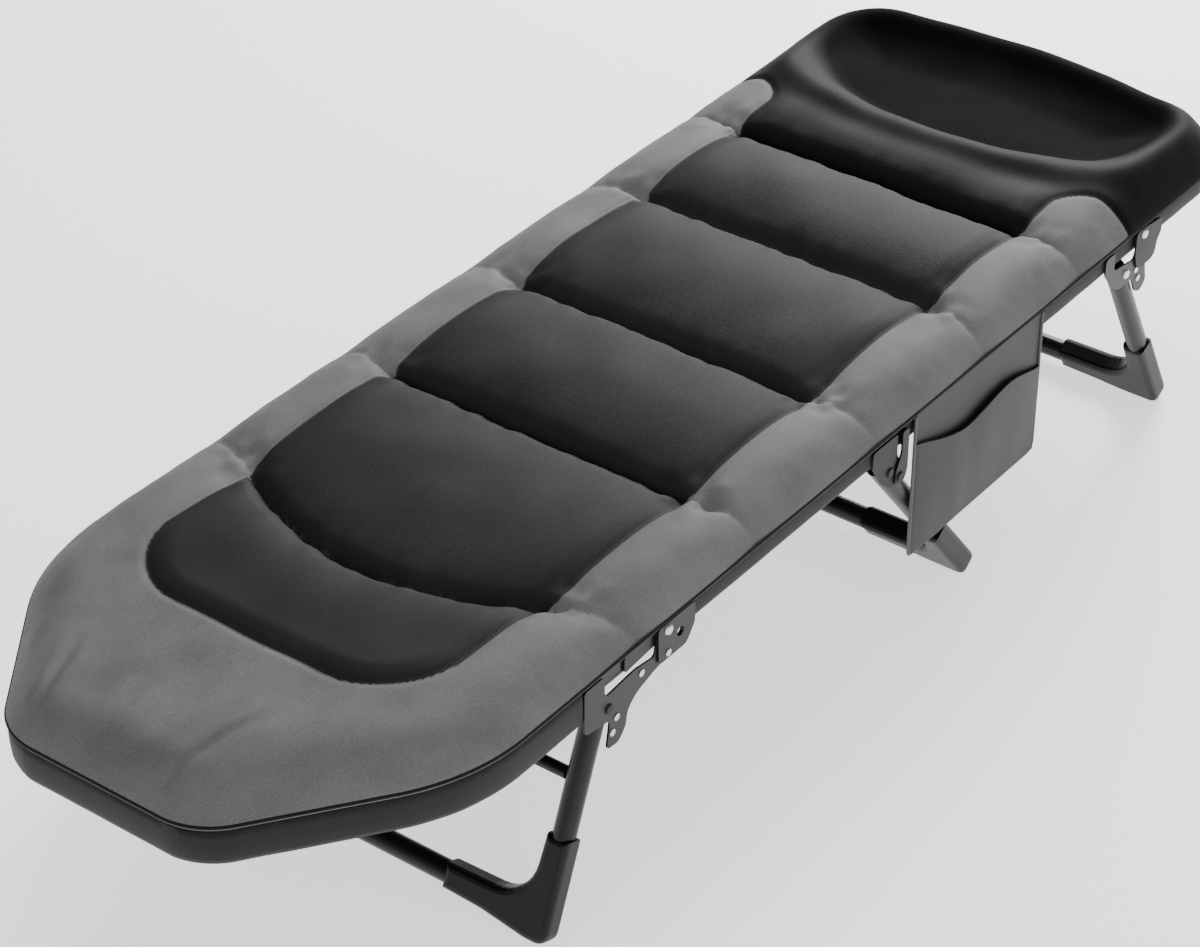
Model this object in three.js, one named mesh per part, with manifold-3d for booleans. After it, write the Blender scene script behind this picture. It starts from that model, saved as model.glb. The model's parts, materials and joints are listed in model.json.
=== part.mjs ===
// A folding cot: a padded bed on three folding leg frames, with a recliner head section
// and a side pocket. Millimetres, +X towards the head end, +Z up, the floor is z = 0.
import * as THREE from 'three';
import { mergeVertices } from 'three/addons/utils/BufferGeometryUtils.js';
import Module from 'manifold-3d';

const wasm = await Module();
wasm.setup();

// Driving dimensions.
const gap = 0.3;
const halfLength = 965;
const halfWidth = 311;
const footHingeX = -381;
const middleHingeX = 96;
const headHingeX = 676;
const hingeZ = 317;
const middleHingeZ = 257;

// Plan of the two rounded ends: the foot end tapers, the head end is a shallow bow.
const footShoulderX = -725;
const footTipHalfWidth = 136;
const headCornerX = 938;

// Frame rails: a flat-sided oval tube, set on edge.
const railWidth = 16;
const railHeight = 26;
const railBottom = 296;
const railTop = railBottom + railHeight;
const railEndSetback = 26;

// Layers across the cot, counted outwards from its centre line.
const railOuter = halfWidth - 1;
const plateThickness = 2.5;
const tongueLayer = railOuter + gap;
const bracketLayer = 313.3;
const outerLayer = bracketLayer + plateThickness + gap;
const outerFace = outerLayer + plateThickness;

// Leg frames.
const legTubeRadius = 14;
const legTubeY = 299;
const frontPivotX = -489;
const middlePivotX = middleHingeX - 19;
const rearPivotX = headHingeX - 36;
const legPivotZ = 272;
const footCentreZ = 21.5;
const frontFootX = -587;
const middleFootX = 278;
const rearFootX = 774;
const tubeEndInSocket = 30;
const tubePastPivot = 8;
const elbowLegArm = 106;
const elbowBarArm = 135;
const elbowHalfDepth = 16;
const upperBarZ = 187;
const upperBarRadius = 8;

// Hinge pins.
const pinRadius = 4;
const pinHoleRadius = pinRadius + gap;
const pinHeadRadius = 7;
const pinHeadThickness = 2;

// Soft parts.
const slingThickness = 2;
const slingSetback = 37;
const slingBottom = railTop + gap;
const padBottom = slingBottom + slingThickness + gap;
const padTop = 378;
const padEdgeRound = 12;
const pocket = { fromX: 128, toX: 421, bottom: 118, top: 327, inner: 315.6, depth: 11.6, wall: 1.5, frontDrop: 58 };

const sides = { right: -1, left: 1 };

const steelMaterial = () => new THREE.MeshStandardMaterial({ color: 0x3b3c3f, roughness: 0.42, metalness: 0.6 });
const plateMaterial = () => new THREE.MeshStandardMaterial({ color: 0x45464a, roughness: 0.5, metalness: 0.6 });
const nickelMaterial = () => new THREE.MeshStandardMaterial({ color: 0xd0d0d2, roughness: 0.25, metalness: 1 });
const plasticMaterial = () => new THREE.MeshStandardMaterial({ color: 0x1c1c1e, roughness: 0.6, metalness: 0 });
const canvasMaterial = () => new THREE.MeshStandardMaterial({ color: 0x151516, roughness: 0.95, metalness: 0 });
const padMaterial = () => new THREE.MeshStandardMaterial({ color: 0x7d7f82, roughness: 0.95, metalness: 0 });
const pocketMaterial = () => new THREE.MeshStandardMaterial({ color: 0x46474a, roughness: 0.95, metalness: 0 });

const cot = new THREE.Group();

function addPart(parent, name, geometry, material) {
  const mesh = new THREE.Mesh(geometry, material);
  mesh.name = name;
  parent.add(mesh);
  return mesh;
}

// Joins and cuts.
function solidFrom(geometry) {
  const bare = geometry.clone();
  bare.deleteAttribute('normal');
  bare.deleteAttribute('uv');
  const merged = mergeVertices(bare, 0.001);
  const mesh = new wasm.Mesh({
    numProp: 3,
    vertProperties: merged.attributes.position.array,
    triVerts: Uint32Array.from(merged.index.array),
  });
  return new wasm.Manifold(mesh);
}

function geometryFrom(solid) {
  const mesh = solid.getMesh();
  const geometry = new THREE.BufferGeometry();
  geometry.setAttribute('position', new THREE.BufferAttribute(mesh.vertProperties, 3));
  geometry.setIndex(new THREE.BufferAttribute(mesh.triVerts, 1));
  geometry.computeVertexNormals();
  return geometry;
}

function join(first, second) {
  return geometryFrom(solidFrom(first).add(solidFrom(second)));
}

function cut(first, ...cutters) {
  return geometryFrom(cutters.reduce((solid, cutter) => solid.subtract(solidFrom(cutter)), solidFrom(first)));
}

function boxBetween(low, high) {
  const size = high.map((value, axis) => value - low[axis]);
  const centre = high.map((value, axis) => (value + low[axis]) / 2);
  return new THREE.BoxGeometry(...size).translate(...centre);
}

// Points along corners [x, y, radius], with each corner that has a radius turned into an arc.
function roundedPoints(corners, closed) {
  const last = corners.length - 1;
  return corners.flatMap(([x, y, radius], index) => {
    const here = new THREE.Vector2(x, y);
    const isLineEnd = !closed && (index === 0 || index === last);
    if (isLineEnd || !radius) return [here];
    const [beforeX, beforeY] = corners.at(index - 1);
    const [afterX, afterY] = corners[(index + 1) % corners.length];
    const toBefore = new THREE.Vector2(beforeX, beforeY).sub(here).normalize();
    const toAfter = new THREE.Vector2(afterX, afterY).sub(here).normalize();
    const halfAngle = Math.acos(THREE.MathUtils.clamp(toBefore.dot(toAfter), -1, 1)) / 2;
    const bisector = toBefore.clone().add(toAfter).normalize();
    const centre = here.clone().addScaledVector(bisector, radius / Math.sin(halfAngle));
    const start = here.clone().addScaledVector(toBefore, radius / Math.tan(halfAngle)).sub(centre);
    const end = here.clone().addScaledVector(toAfter, radius / Math.tan(halfAngle)).sub(centre);
    const sweep = Math.atan2(start.cross(end), start.dot(end));
    const stepAngle = THREE.MathUtils.degToRad(radius < 25 ? 30 : 12);
    const steps = Math.max(2, Math.ceil(Math.abs(sweep) / stepAngle));
    return Array.from({ length: steps + 1 }, (_, step) => {
      const turned = start.clone().rotateAround(new THREE.Vector2(), (sweep * step) / steps);
      return centre.clone().add(turned);
    });
  });
}

// The same line moved sideways to its right-hand side.
function offsetLine(points, distance) {
  return points.map((point, index) => {
    const before = points[Math.max(index - 1, 0)];
    const after = points[Math.min(index + 1, points.length - 1)];
    const back = point.clone().sub(before).normalize();
    const ahead = after.clone().sub(point).normalize();
    if (index === 0) back.copy(ahead);
    if (index === points.length - 1) ahead.copy(back);
    const along = back.clone().add(ahead).normalize();
    const miter = 1 / Math.max(along.dot(back), 0.5);
    return new THREE.Vector2(along.y, -along.x).multiplyScalar(distance * miter).add(point);
  });
}

// Edge lines of the two ends, walked with the cot's inside on the right-hand side.
function footEdge(startX) {
  return roundedPoints([
    [startX, -halfWidth],
    [footShoulderX, -halfWidth, 260],
    [-halfLength, -footTipHalfWidth, 90],
    [-halfLength, footTipHalfWidth, 90],
    [footShoulderX, halfWidth, 260],
    [startX, halfWidth],
  ], false);
}

function headEdge(startX) {
  return roundedPoints([
    [startX, halfWidth],
    [headCornerX, halfWidth, 105],
    [halfLength + 4, 0, 900],
    [headCornerX, -halfWidth, 105],
    [startX, -halfWidth],
  ], false);
}

function straightEdge(fromX, toX, side) {
  const ends = [new THREE.Vector2(fromX, side * halfWidth), new THREE.Vector2(toX, side * halfWidth)];
  return side > 0 ? ends : ends.reverse();
}

function railGeometry(edge) {
  const outer = offsetLine(edge, halfWidth - railOuter);
  const inner = offsetLine(edge, halfWidth - railOuter + railWidth);
  const round = 5;
  return new THREE.ExtrudeGeometry(new THREE.Shape([...outer, ...inner.reverse()]), {
    depth: railHeight - 2 * round,
    bevelSize: round,
    bevelThickness: round,
    bevelOffset: -round,
    bevelSegments: 2,
  }).translate(0, 0, railBottom + round);
}

function slabGeometry(outline, bottom, top, round) {
  return new THREE.ExtrudeGeometry(new THREE.Shape(outline), {
    depth: top - bottom - 2 * round,
    bevelEnabled: round > 0,
    bevelSize: round,
    bevelThickness: round,
    bevelOffset: -round,
    bevelSegments: 3,
  }).translate(0, 0, bottom + round);
}

// A flat plate standing in the XZ plane, from corners [x, z, radius] and holes [x, z, radius].
function plateGeometry(corners, holes, side, layer, thickness = plateThickness) {
  const outline = roundedPoints(corners, true);
  if (THREE.ShapeUtils.isClockWise(outline)) outline.reverse();
  const shape = new THREE.Shape(outline);
  shape.holes = holes.map(([x, z, radius]) => {
    const circle = new THREE.Path().absarc(x, z, radius, 0, 2 * Math.PI, true);
    return new THREE.Path(circle.getPoints(6).slice(0, -1));
  });
  const depthFrom = side < 0 ? layer : -layer - thickness;
  return new THREE.ExtrudeGeometry(shape, { depth: thickness, bevelEnabled: false })
    .translate(0, 0, depthFrom)
    .rotateX(Math.PI / 2);
}

// A spacer that fills the space between a plate and the rail that it is riveted to.
function withSpacer(plate, side, fromX, toX, layer) {
  const inner = side * tongueLayer;
  const outer = side * (layer + 0.5);
  const low = [fromX, Math.min(inner, outer), railBottom + 4];
  const high = [toX, Math.max(inner, outer), railTop - 4];
  return join(plate, boxBetween(low, high));
}

// A pin along Y with a round head on its outer end and, where there is room, a flange inside.
function pinGeometry(side, from, headFrom, flange) {
  const profile = flange
    ? [[0, from], [pinHeadRadius, from], [pinHeadRadius, from + 2], [pinRadius, from + 2]]
    : [[0, from], [pinRadius, from]];
  profile.push(
    [pinRadius, headFrom],
    [pinHeadRadius, headFrom],
    [pinHeadRadius - 1.5, headFrom + pinHeadThickness],
    [0, headFrom + pinHeadThickness],
  );
  const points = profile.map(([radius, y]) => new THREE.Vector2(radius, y));
  const geometry = new THREE.LatheGeometry(points, 12);
  return side > 0 ? geometry : geometry.rotateX(Math.PI);
}

function tubeGeometry(radius, length) {
  return new THREE.CylinderGeometry(radius, radius, length, 24);
}

function makeFrameRails() {
  const steel = steelMaterial;
  addPart(cot, 'foot_rail', railGeometry(footEdge(footHingeX - railEndSetback)), steel());
  addPart(cot, 'head_rail', railGeometry(headEdge(headHingeX + railEndSetback)), steel());
  for (const [name, side] of Object.entries(sides)) {
    const seatRail = straightEdge(footHingeX + 30, middleHingeX - 1, side);
    const backRail = straightEdge(middleHingeX + 1, headHingeX - 2, side);
    addPart(cot, `seat_rail_${name}`, railGeometry(seatRail), steel());
    addPart(cot, `back_rail_${name}`, railGeometry(backRail), steel());
  }
}

function makeSofts() {
  const sections = {
    foot: { sling: footEdge(footHingeX - slingSetback), pad: footEdge(footHingeX - 1) },
    seat: {
      sling: [...straightEdge(footHingeX + 30, middleHingeX - 1, 1), ...straightEdge(footHingeX + 30, middleHingeX - 1, -1)],
      pad: [...straightEdge(footHingeX + 1, middleHingeX - 1, 1), ...straightEdge(footHingeX + 1, middleHingeX - 1, -1)],
    },
    back: {
      sling: [...straightEdge(middleHingeX + 1, headHingeX - 2, 1), ...straightEdge(middleHingeX + 1, headHingeX - 2, -1)],
      pad: [...straightEdge(middleHingeX + 1, headHingeX - 1, 1), ...straightEdge(middleHingeX + 1, headHingeX - 1, -1)],
    },
    head: { sling: headEdge(headHingeX + slingSetback), pad: headEdge(headHingeX + 1) },
  };
  for (const [name, outline] of Object.entries(sections)) {
    const sling = slabGeometry(offsetLine(outline.sling, 2), slingBottom, slingBottom + slingThickness, 0);
    addPart(cot, `${name}_sling`, sling, canvasMaterial());
    addPart(cot, `${name}_pad`, slabGeometry(outline.pad, padBottom, padTop, padEdgeRound), padMaterial());
  }
}

// The moulded corner between a leg tube and the crossbar: drawn in the plane of both, with a
// curved web in the corner and a heel that stands on the floor.
function elbowGeometry(side, legLength, lean) {
  const outline = roundedPoints([
    [-elbowHalfDepth, elbowLegArm, 0],
    [-elbowHalfDepth, -26, 15],
    [14, -26, 30],
    [78, -18, 60],
    [elbowBarArm, -elbowHalfDepth, 0],
    [elbowBarArm, elbowHalfDepth, 0],
    [elbowHalfDepth + 4, elbowHalfDepth + 3, 52],
    [elbowHalfDepth, elbowLegArm, 0],
  ], true);
  const round = 8;
  const body = new THREE.ExtrudeGeometry(new THREE.Shape(outline), {
    depth: 2 * (elbowHalfDepth - round),
    bevelSize: round,
    bevelThickness: round,
    bevelOffset: -round,
    bevelSegments: 3,
  }).translate(0, 0, round - elbowHalfDepth);
  // Shape x runs inwards along Y, shape y runs up the leg.
  body.rotateX(Math.PI / 2).rotateZ(side > 0 ? -Math.PI / 2 : Math.PI / 2);
  body.translate(0, side * legTubeY, -legLength);

  const socketRadius = legTubeRadius + gap;
  const legSocket = tubeGeometry(socketRadius, 120).rotateX(Math.PI / 2);
  legSocket.translate(0, side * legTubeY, -legLength + tubeEndInSocket - gap + 60);
  const barSocket = tubeGeometry(socketRadius, 150);
  barSocket.translate(0, side * (legTubeY - tubeEndInSocket + gap - 75), -legLength);
  const floor = boxBetween([-400, -500, -100], [400, 500, 0]);
  floor.translate(0, 0, -legPivotZ).rotateY(-lean);
  return cut(body, legSocket, barSocket, floor);
}

// One folding leg frame in its own group: two tubes that hang from their pivots, a crossbar
// and the two moulded corners that hold them together.
function makeLeg(name, pivotX, footX) {
  const drop = legPivotZ - footCentreZ;
  const lean = Math.atan2(pivotX - footX, drop);
  const legLength = Math.hypot(pivotX - footX, drop);
  const leg = new THREE.Group();
  leg.position.set(pivotX, 0, legPivotZ);
  leg.rotation.y = lean;
  cot.add(leg);

  const tubeLength = legLength - tubeEndInSocket + tubePastPivot;
  for (const [sideName, side] of Object.entries(sides)) {
    const tube = tubeGeometry(legTubeRadius, tubeLength).rotateX(Math.PI / 2);
    tube.translate(0, side * legTubeY, tubePastPivot - tubeLength / 2);
    const pinHole = new THREE.CylinderGeometry(pinHoleRadius, pinHoleRadius, 40, 12);
    pinHole.translate(0, side * legTubeY, 0);
    addPart(leg, `${name}_leg_tube_${sideName}`, cut(tube, pinHole), steelMaterial());
    addPart(leg, `${name}_leg_foot_${sideName}`, elbowGeometry(side, legLength, lean), plasticMaterial());
    const pin = pinGeometry(side, legTubeY - legTubeRadius - 2 - gap, outerLayer, true);
    addPart(leg, `${name}_leg_pin_${sideName}`, pin, nickelMaterial());
  }
  const crossbar = tubeGeometry(legTubeRadius, 2 * (legTubeY - tubeEndInSocket));
  addPart(leg, `${name}_leg_crossbar`, crossbar.translate(0, 0, -legLength), steelMaterial());
  return { leg, lean };
}

function makeLegs() {
  const front = makeLeg('front', frontPivotX, frontFootX);
  const upperBar = tubeGeometry(upperBarRadius, 2 * (legTubeY - legTubeRadius - gap));
  upperBar.translate(0, 0, -(legPivotZ - upperBarZ) / Math.cos(front.lean));
  addPart(front.leg, 'front_leg_upper_bar', upperBar, steelMaterial());
  makeLeg('middle', middlePivotX, middleFootX);
  makeLeg('rear', rearPivotX, rearFootX);
}

// Foot hinge: a tongue on the foot rail turns between the leg bracket and the outer plate.
function makeFootHinge(sideName, side) {
  const tongue = plateGeometry(
    [[-456, 320, 4], [-390, 327, 12], [-370, 327, 10], [-370, 306, 10], [-456, 299, 4]],
    [[footHingeX, hingeZ, pinHoleRadius]],
    side, tongueLayer, bracketLayer - gap - tongueLayer,
  );
  addPart(cot, `foot_hinge_tongue_${sideName}`, tongue, plateMaterial());
  const sightHole = [-358, 301, 6.5];
  const outer = plateGeometry(
    [[-400, 327, 5], [-330, 327, 5], [-330, 298, 8], [-346, 277, 10], [-399, 277, 7]],
    [[footHingeX, hingeZ, pinHoleRadius], sightHole],
    side, outerLayer,
  );
  addPart(cot, `foot_hinge_plate_${sideName}`, outer, plateMaterial());
  addPart(cot, `foot_hinge_pin_${sideName}`, pinGeometry(side, tongueLayer, outerFace + gap, false), nickelMaterial())
    .position.set(footHingeX, 0, hingeZ);

  const bracket = plateGeometry(
    [
      [-533, 321, 5], [-496, 321, 6], [-496, 291, 7], [-440, 296, 60], [-403, 291, 6],
      [-399, 327, 6], [-330, 327, 5], [-330, 296, 6], [-356, 279, 10], [-403, 272, 20],
      [-436, 262, 40], [-454, 248, 20], [-456, 228, 20], [-470, 213, 9], [-492, 215, 5],
      [-486, 254, 6], [-533, 260, 9],
    ],
    [[frontPivotX, legPivotZ, pinHoleRadius], [footHingeX, hingeZ, pinHoleRadius], sightHole],
    side, bracketLayer,
  );
  addPart(cot, `front_leg_bracket_${sideName}`, withSpacer(bracket, side, -349, -333, bracketLayer), plateMaterial());
}

// Middle hinge: its pin sits below the rails, so that the two halves close underside to underside.
function makeMiddleHinge(sideName, side) {
  const fromHinge = (x, z, radius) => [middleHingeX + x, z, radius];
  const pinHole = [middleHingeX, middleHingeZ, pinHoleRadius];
  const bracket = plateGeometry(
    [
      fromHinge(-58, 320, 5), fromHinge(-4, 320, 4), fromHinge(-4, 290, 10), fromHinge(13, 262, 10),
      fromHinge(6, 244, 11), fromHinge(-18, 248, 14), fromHinge(-36, 263, 16), fromHinge(-58, 298, 8),
    ],
    [[middlePivotX, legPivotZ, pinHoleRadius], pinHole],
    side, bracketLayer,
  );
  const bracketOnRail = withSpacer(bracket, side, middleHingeX - 54, middleHingeX - 10, bracketLayer);
  addPart(cot, `middle_leg_bracket_${sideName}`, bracketOnRail, plateMaterial());
  const strap = plateGeometry(
    [
      fromHinge(3, 320, 3), fromHinge(17, 320, 4), fromHinge(17, 262, 10), fromHinge(11, 246, 9),
      fromHinge(-10, 246, 9), fromHinge(-9, 268, 9), fromHinge(3, 290, 10),
    ],
    [pinHole],
    side, outerLayer,
  );
  const strapOnRail = withSpacer(strap, side, middleHingeX + 4, middleHingeX + 15, outerLayer);
  addPart(cot, `middle_hinge_strap_${sideName}`, strapOnRail, plateMaterial());
  addPart(cot, `middle_hinge_pin_${sideName}`, pinGeometry(side, bracketLayer, outerFace + gap, false), nickelMaterial())
    .position.set(middleHingeX, 0, middleHingeZ);
}

// Head hinge: the rear leg bracket carries the pin, and a moulded ratchet housing on the head
// rail turns on it.
function makeHeadHinge(sideName, side) {
  const bracket = plateGeometry(
    [
      [583, 320, 5], [606, 320, 4], [606, 293, 5], [658, 285, 6], [663, 300, 6], [664, 328, 8],
      [688, 328, 8], [688, 290, 20], [691, 262, 20], [696, 236, 8], [682, 225, 8], [668, 232, 6],
      [656, 257, 8], [622, 256, 10], [600, 274, 12], [583, 297, 6],
    ],
    [[rearPivotX, legPivotZ, pinHoleRadius], [headHingeX, hingeZ, pinHoleRadius]],
    side, bracketLayer,
  );
  addPart(cot, `rear_leg_bracket_${sideName}`, withSpacer(bracket, side, 586, 603, bracketLayer), plateMaterial());
  const housing = plateGeometry(
    [[656, 328, 8], [722, 321, 5], [722, 300, 6], [713, 290, 12], [709, 267, 14], [663, 267, 14], [656, 292, 10]],
    [[headHingeX, hingeZ, pinHoleRadius]],
    side, outerLayer,
  );
  addPart(cot, `head_ratchet_${sideName}`, withSpacer(housing, side, 705, 719, outerLayer), plasticMaterial());
  addPart(cot, `head_hinge_pin_${sideName}`, pinGeometry(side, bracketLayer, outerFace + gap, false), nickelMaterial())
    .position.set(headHingeX, 0, hingeZ);
}

// The side pocket: a flat pouch outside the right-hand rail, with its front lower than its back.
function makePocket() {
  const { fromX, toX, bottom, top, inner, depth, wall, frontDrop } = pocket;
  const body = boxBetween([fromX, -inner - depth, bottom], [toX, -inner, top]);
  const cavity = boxBetween([fromX + wall, -inner - depth + wall, bottom + wall], [toX - wall, -inner - wall, top + 1]);
  const mouth = boxBetween([fromX - 1, -inner - depth - 1, top - frontDrop], [toX + 1, -inner - wall, top + 1]);
  addPart(cot, 'side_pocket', cut(body, cavity, mouth), pocketMaterial());
}

makeFrameRails();
makeSofts();
makeLegs();
for (const [sideName, side] of Object.entries(sides)) {
  makeFootHinge(sideName, side);
  makeMiddleHinge(sideName, side);
  makeHeadHinge(sideName, side);
}
makePocket();

// The pocket makes the right side wider, so the cot stands a little to the left of the origin.
const pinReach = outerFace + gap + pinHeadThickness;
cot.position.y = (pocket.inner + pocket.depth - pinReach) / 2;

export default cot;
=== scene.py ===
import json
import math

import bpy
import numpy as np
from mathutils import Matrix, Vector, noise


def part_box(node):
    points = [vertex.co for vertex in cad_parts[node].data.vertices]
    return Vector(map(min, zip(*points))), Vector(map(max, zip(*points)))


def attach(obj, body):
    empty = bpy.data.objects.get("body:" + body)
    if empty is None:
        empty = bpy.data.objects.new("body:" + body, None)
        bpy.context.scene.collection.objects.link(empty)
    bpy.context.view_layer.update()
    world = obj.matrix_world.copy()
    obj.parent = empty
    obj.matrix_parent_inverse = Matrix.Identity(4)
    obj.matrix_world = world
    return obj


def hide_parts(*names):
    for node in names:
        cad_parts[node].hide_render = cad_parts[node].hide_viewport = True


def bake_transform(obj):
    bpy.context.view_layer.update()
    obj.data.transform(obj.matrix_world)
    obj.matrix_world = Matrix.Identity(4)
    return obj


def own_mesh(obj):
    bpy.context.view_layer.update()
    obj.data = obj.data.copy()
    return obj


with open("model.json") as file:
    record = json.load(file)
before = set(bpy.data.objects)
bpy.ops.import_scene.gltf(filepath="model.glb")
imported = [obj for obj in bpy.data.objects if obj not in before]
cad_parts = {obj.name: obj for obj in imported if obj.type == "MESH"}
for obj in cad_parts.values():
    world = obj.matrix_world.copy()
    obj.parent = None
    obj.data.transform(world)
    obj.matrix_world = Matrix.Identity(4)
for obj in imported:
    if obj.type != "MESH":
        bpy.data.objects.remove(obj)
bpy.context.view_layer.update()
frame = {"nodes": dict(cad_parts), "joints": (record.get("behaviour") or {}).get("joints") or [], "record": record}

jointAt = {joint["name"]: joint["pos_m"] for joint in frame["joints"]}
nearRail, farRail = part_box("seat_rail_right"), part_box("seat_rail_left")
centreY = (farRail[1].y + nearRail[0].y) / 2  # the cot's middle line, a little off zero because of the pocket
footHingeX, middleHingeX, headHingeX = (
    jointAt[name][0] * 1000 for name in ("foot_fold", "middle_fold", "head_recline"))

# Lengths below are in millimetres along the cot, until metres() places them.
outlineShape = {
    "footEnd": -969, "tipHalfWidth": 137, "tipRound": 90,
    "shoulder": -725, "shoulderRound": 260, "halfWidth": 316,
    "headCorner": 940, "headRound": 118, "headEnd": 970, "headBow": 900,
    "footPatchCorner": 134, "headPatchCorner": 297,  # lengths from an end's middle to a corner of its grid
    "spacing": 3, "nearCut": 0.5,
}


def deselectAll():
    if bpy.context.object and bpy.context.object.mode != "OBJECT":
        bpy.ops.object.mode_set(mode="OBJECT")
    bpy.ops.object.select_all(action="DESELECT")


def makeActive(piece):
    deselectAll()
    piece.select_set(True)
    bpy.context.view_layer.objects.active = piece


def newest(name):
    piece = bpy.context.object
    piece.name = name
    piece.data.name = name
    return piece


def applyModifier(piece, kind, **settings):
    makeActive(piece)
    modifier = piece.modifiers.new(kind.title(), kind)
    for name, value in settings.items():
        setattr(modifier, name, value)
    bpy.ops.object.modifier_apply(modifier=modifier.name)


def turnOutwards(piece, apart=1e-6):
    makeActive(piece)
    bpy.ops.object.mode_set(mode="EDIT")
    bpy.ops.mesh.select_all(action="SELECT")
    bpy.ops.mesh.remove_doubles(threshold=apart)
    bpy.ops.mesh.normals_make_consistent(inside=False)
    bpy.ops.object.mode_set(mode="OBJECT")


def smooth(piece, angle=40):
    makeActive(piece)
    bpy.ops.object.shade_smooth_by_angle(angle=math.radians(angle))


def pointsOf(piece):
    points = np.zeros(len(piece.data.vertices) * 3)
    piece.data.vertices.foreach_get("co", points)
    return points.reshape(-1, 3)


def setPoints(piece, points):
    piece.data.vertices.foreach_set("co", np.ascontiguousarray(points).ravel())
    piece.data.update()


def metres(points):
    placed = np.array(points, float) / 1000
    placed[..., 1] += centreY
    return placed


def smoothStep(value, low, high):
    share = np.clip((value - low) / (high - low), 0, 1)
    return share * share * (3 - 2 * share)


def softNoise(x, y, lengthX, lengthY, seed):
    spots = zip(np.ravel(x) / lengthX, np.ravel(y) / lengthY)
    return np.array([noise.noise(Vector((a, b, seed))) for a, b in spots]).reshape(np.shape(x))


def clothGrid(name, shape):
    # A grid whose points are laid where shape, rows by columns, says.
    rows, columns = shape.shape[0] - 1, shape.shape[1] - 1
    deselectAll()
    bpy.ops.mesh.primitive_grid_add(size=1, x_subdivisions=columns, y_subdivisions=rows)
    piece = newest(name)
    flat = pointsOf(piece)
    column = np.rint((flat[:, 0] + 0.5) * columns).astype(int)
    row = np.rint((flat[:, 1] + 0.5) * rows).astype(int)
    setPoints(piece, shape[row, column])
    return piece


def tubeShape(path, radius, sides, reference):
    # A round tube along path, closed by a centre point at each end.
    along = np.gradient(path, axis=0)
    along /= np.linalg.norm(along, axis=1)[:, None]
    across = np.cross(along, reference)
    across /= np.linalg.norm(across, axis=1)[:, None]
    up = np.cross(across, along)
    turns = np.linspace(0, 2 * math.pi, sides + 1)
    ring = (path[:, None] + radius * (np.cos(turns)[None, :, None] * across[:, None]
                                      + np.sin(turns)[None, :, None] * up[:, None]))
    ring[:, -1] = ring[:, 0]
    return np.concatenate([np.repeat(path[:1, None], sides + 1, 1), ring,
                           np.repeat(path[-1:, None], sides + 1, 1)])


def roundedLine(corners, spacing):
    # Points along corners (x, y, radius), every corner with a radius turned into an arc.
    line = [np.array(corners[0][:2], float)]
    for before, (x, y, radius), after in zip(corners, corners[1:], corners[2:]):
        here = np.array([x, y], float)
        back = np.array(before[:2], float) - here
        ahead = np.array(after[:2], float) - here
        back, ahead = back / np.linalg.norm(back), ahead / np.linalg.norm(ahead)
        half = math.acos(float(back @ ahead)) / 2
        reach = radius / math.tan(half)
        middle = here + (back + ahead) / np.linalg.norm(back + ahead) * radius / math.sin(half)
        start, end = here + back * reach - middle, here + ahead * reach - middle
        sweep = math.atan2(start[0] * end[1] - start[1] * end[0], float(start @ end))
        for turn in np.linspace(0, sweep, max(3, int(abs(sweep) * radius / spacing))):
            cosine, sine = math.cos(turn), math.sin(turn)
            line.append(middle + np.array([cosine * start[0] - sine * start[1],
                                           sine * start[0] + cosine * start[1]]))
    line.append(np.array(corners[-1][:2], float))
    return evenly(np.array(line), spacing)


def evenly(line, spacing=None, count=None):
    steps = np.linalg.norm(np.diff(line, axis=0), axis=1)
    gone = np.concatenate([[0], np.cumsum(steps)])
    count = count or max(2, int(round(gone[-1] / spacing)) + 1)
    at = np.linspace(0, gone[-1], count)
    return np.stack([np.interp(at, gone, line[:, axis]) for axis in range(line.shape[1])], 1)


def makeOutline():
    s = outlineShape
    corners = [(s["footEnd"], 0, 0), (s["footEnd"], s["tipHalfWidth"], s["tipRound"]),
               (s["shoulder"], s["halfWidth"], s["shoulderRound"]),
               (s["headCorner"], s["halfWidth"], s["headRound"]), (s["headEnd"], 0, s["headBow"])]
    back = [(x, -y, r) for x, y, r in corners[-2:0:-1]]
    whole = roundedLine(corners + back + [corners[0]], s["spacing"])
    return whole[:len(whole) // 2 + 1]


upperOutline = makeOutline()  # from the middle of the foot end round one side to the middle of the head end
fullOutline = np.concatenate([upperOutline, upperOutline[::-1] * (1, -1)])


def insetLine(line, inset):
    along = np.gradient(line, axis=0)
    along /= np.linalg.norm(along, axis=1)[:, None]
    return line + inset * np.stack([along[:, 1], -along[:, 0]], 1)


def edgePaths(low, high, inset=0.0):
    # The edge between two places along the cot: one line round an end, or one line each side.
    line = insetLine(upperOutline, inset)
    line[0, 1] = line[-1, 1] = 0
    side, clear = outlineShape["halfWidth"] - inset, outlineShape["nearCut"]
    kept = line[(line[:, 0] > low + clear) & (line[:, 0] < high - clear)]
    if low <= outlineShape["footEnd"]:
        kept = np.concatenate([kept, [[high, side]]])
        return [np.concatenate([kept[::-1] * (1, -1), kept[1:]])]
    if high >= outlineShape["headEnd"]:
        kept = np.concatenate([[[low, side]], kept])
        return [np.concatenate([kept, kept[-2::-1] * (1, -1)])]
    upper = np.concatenate([[[low, side]], kept, [[high, side]]])
    return [upper * (1, -1), upper]


def edgeDistance(points, spacing=9, batch=8000):
    # How far each place is from the outline, a batch of places at a time.
    line = evenly(fullOutline, spacing)
    start, step = line[:-1], np.diff(line, axis=0)
    length = (step ** 2).sum(1)
    nearest = np.empty(len(points))
    for first in range(0, len(points), batch):
        away = points[first:first + batch, None] - start
        share = np.clip((away * step).sum(2) / length, 0, 1)
        nearest[first:first + batch] = np.sqrt(((away - share[..., None] * step) ** 2).sum(2).min(1))
    return nearest


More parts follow.
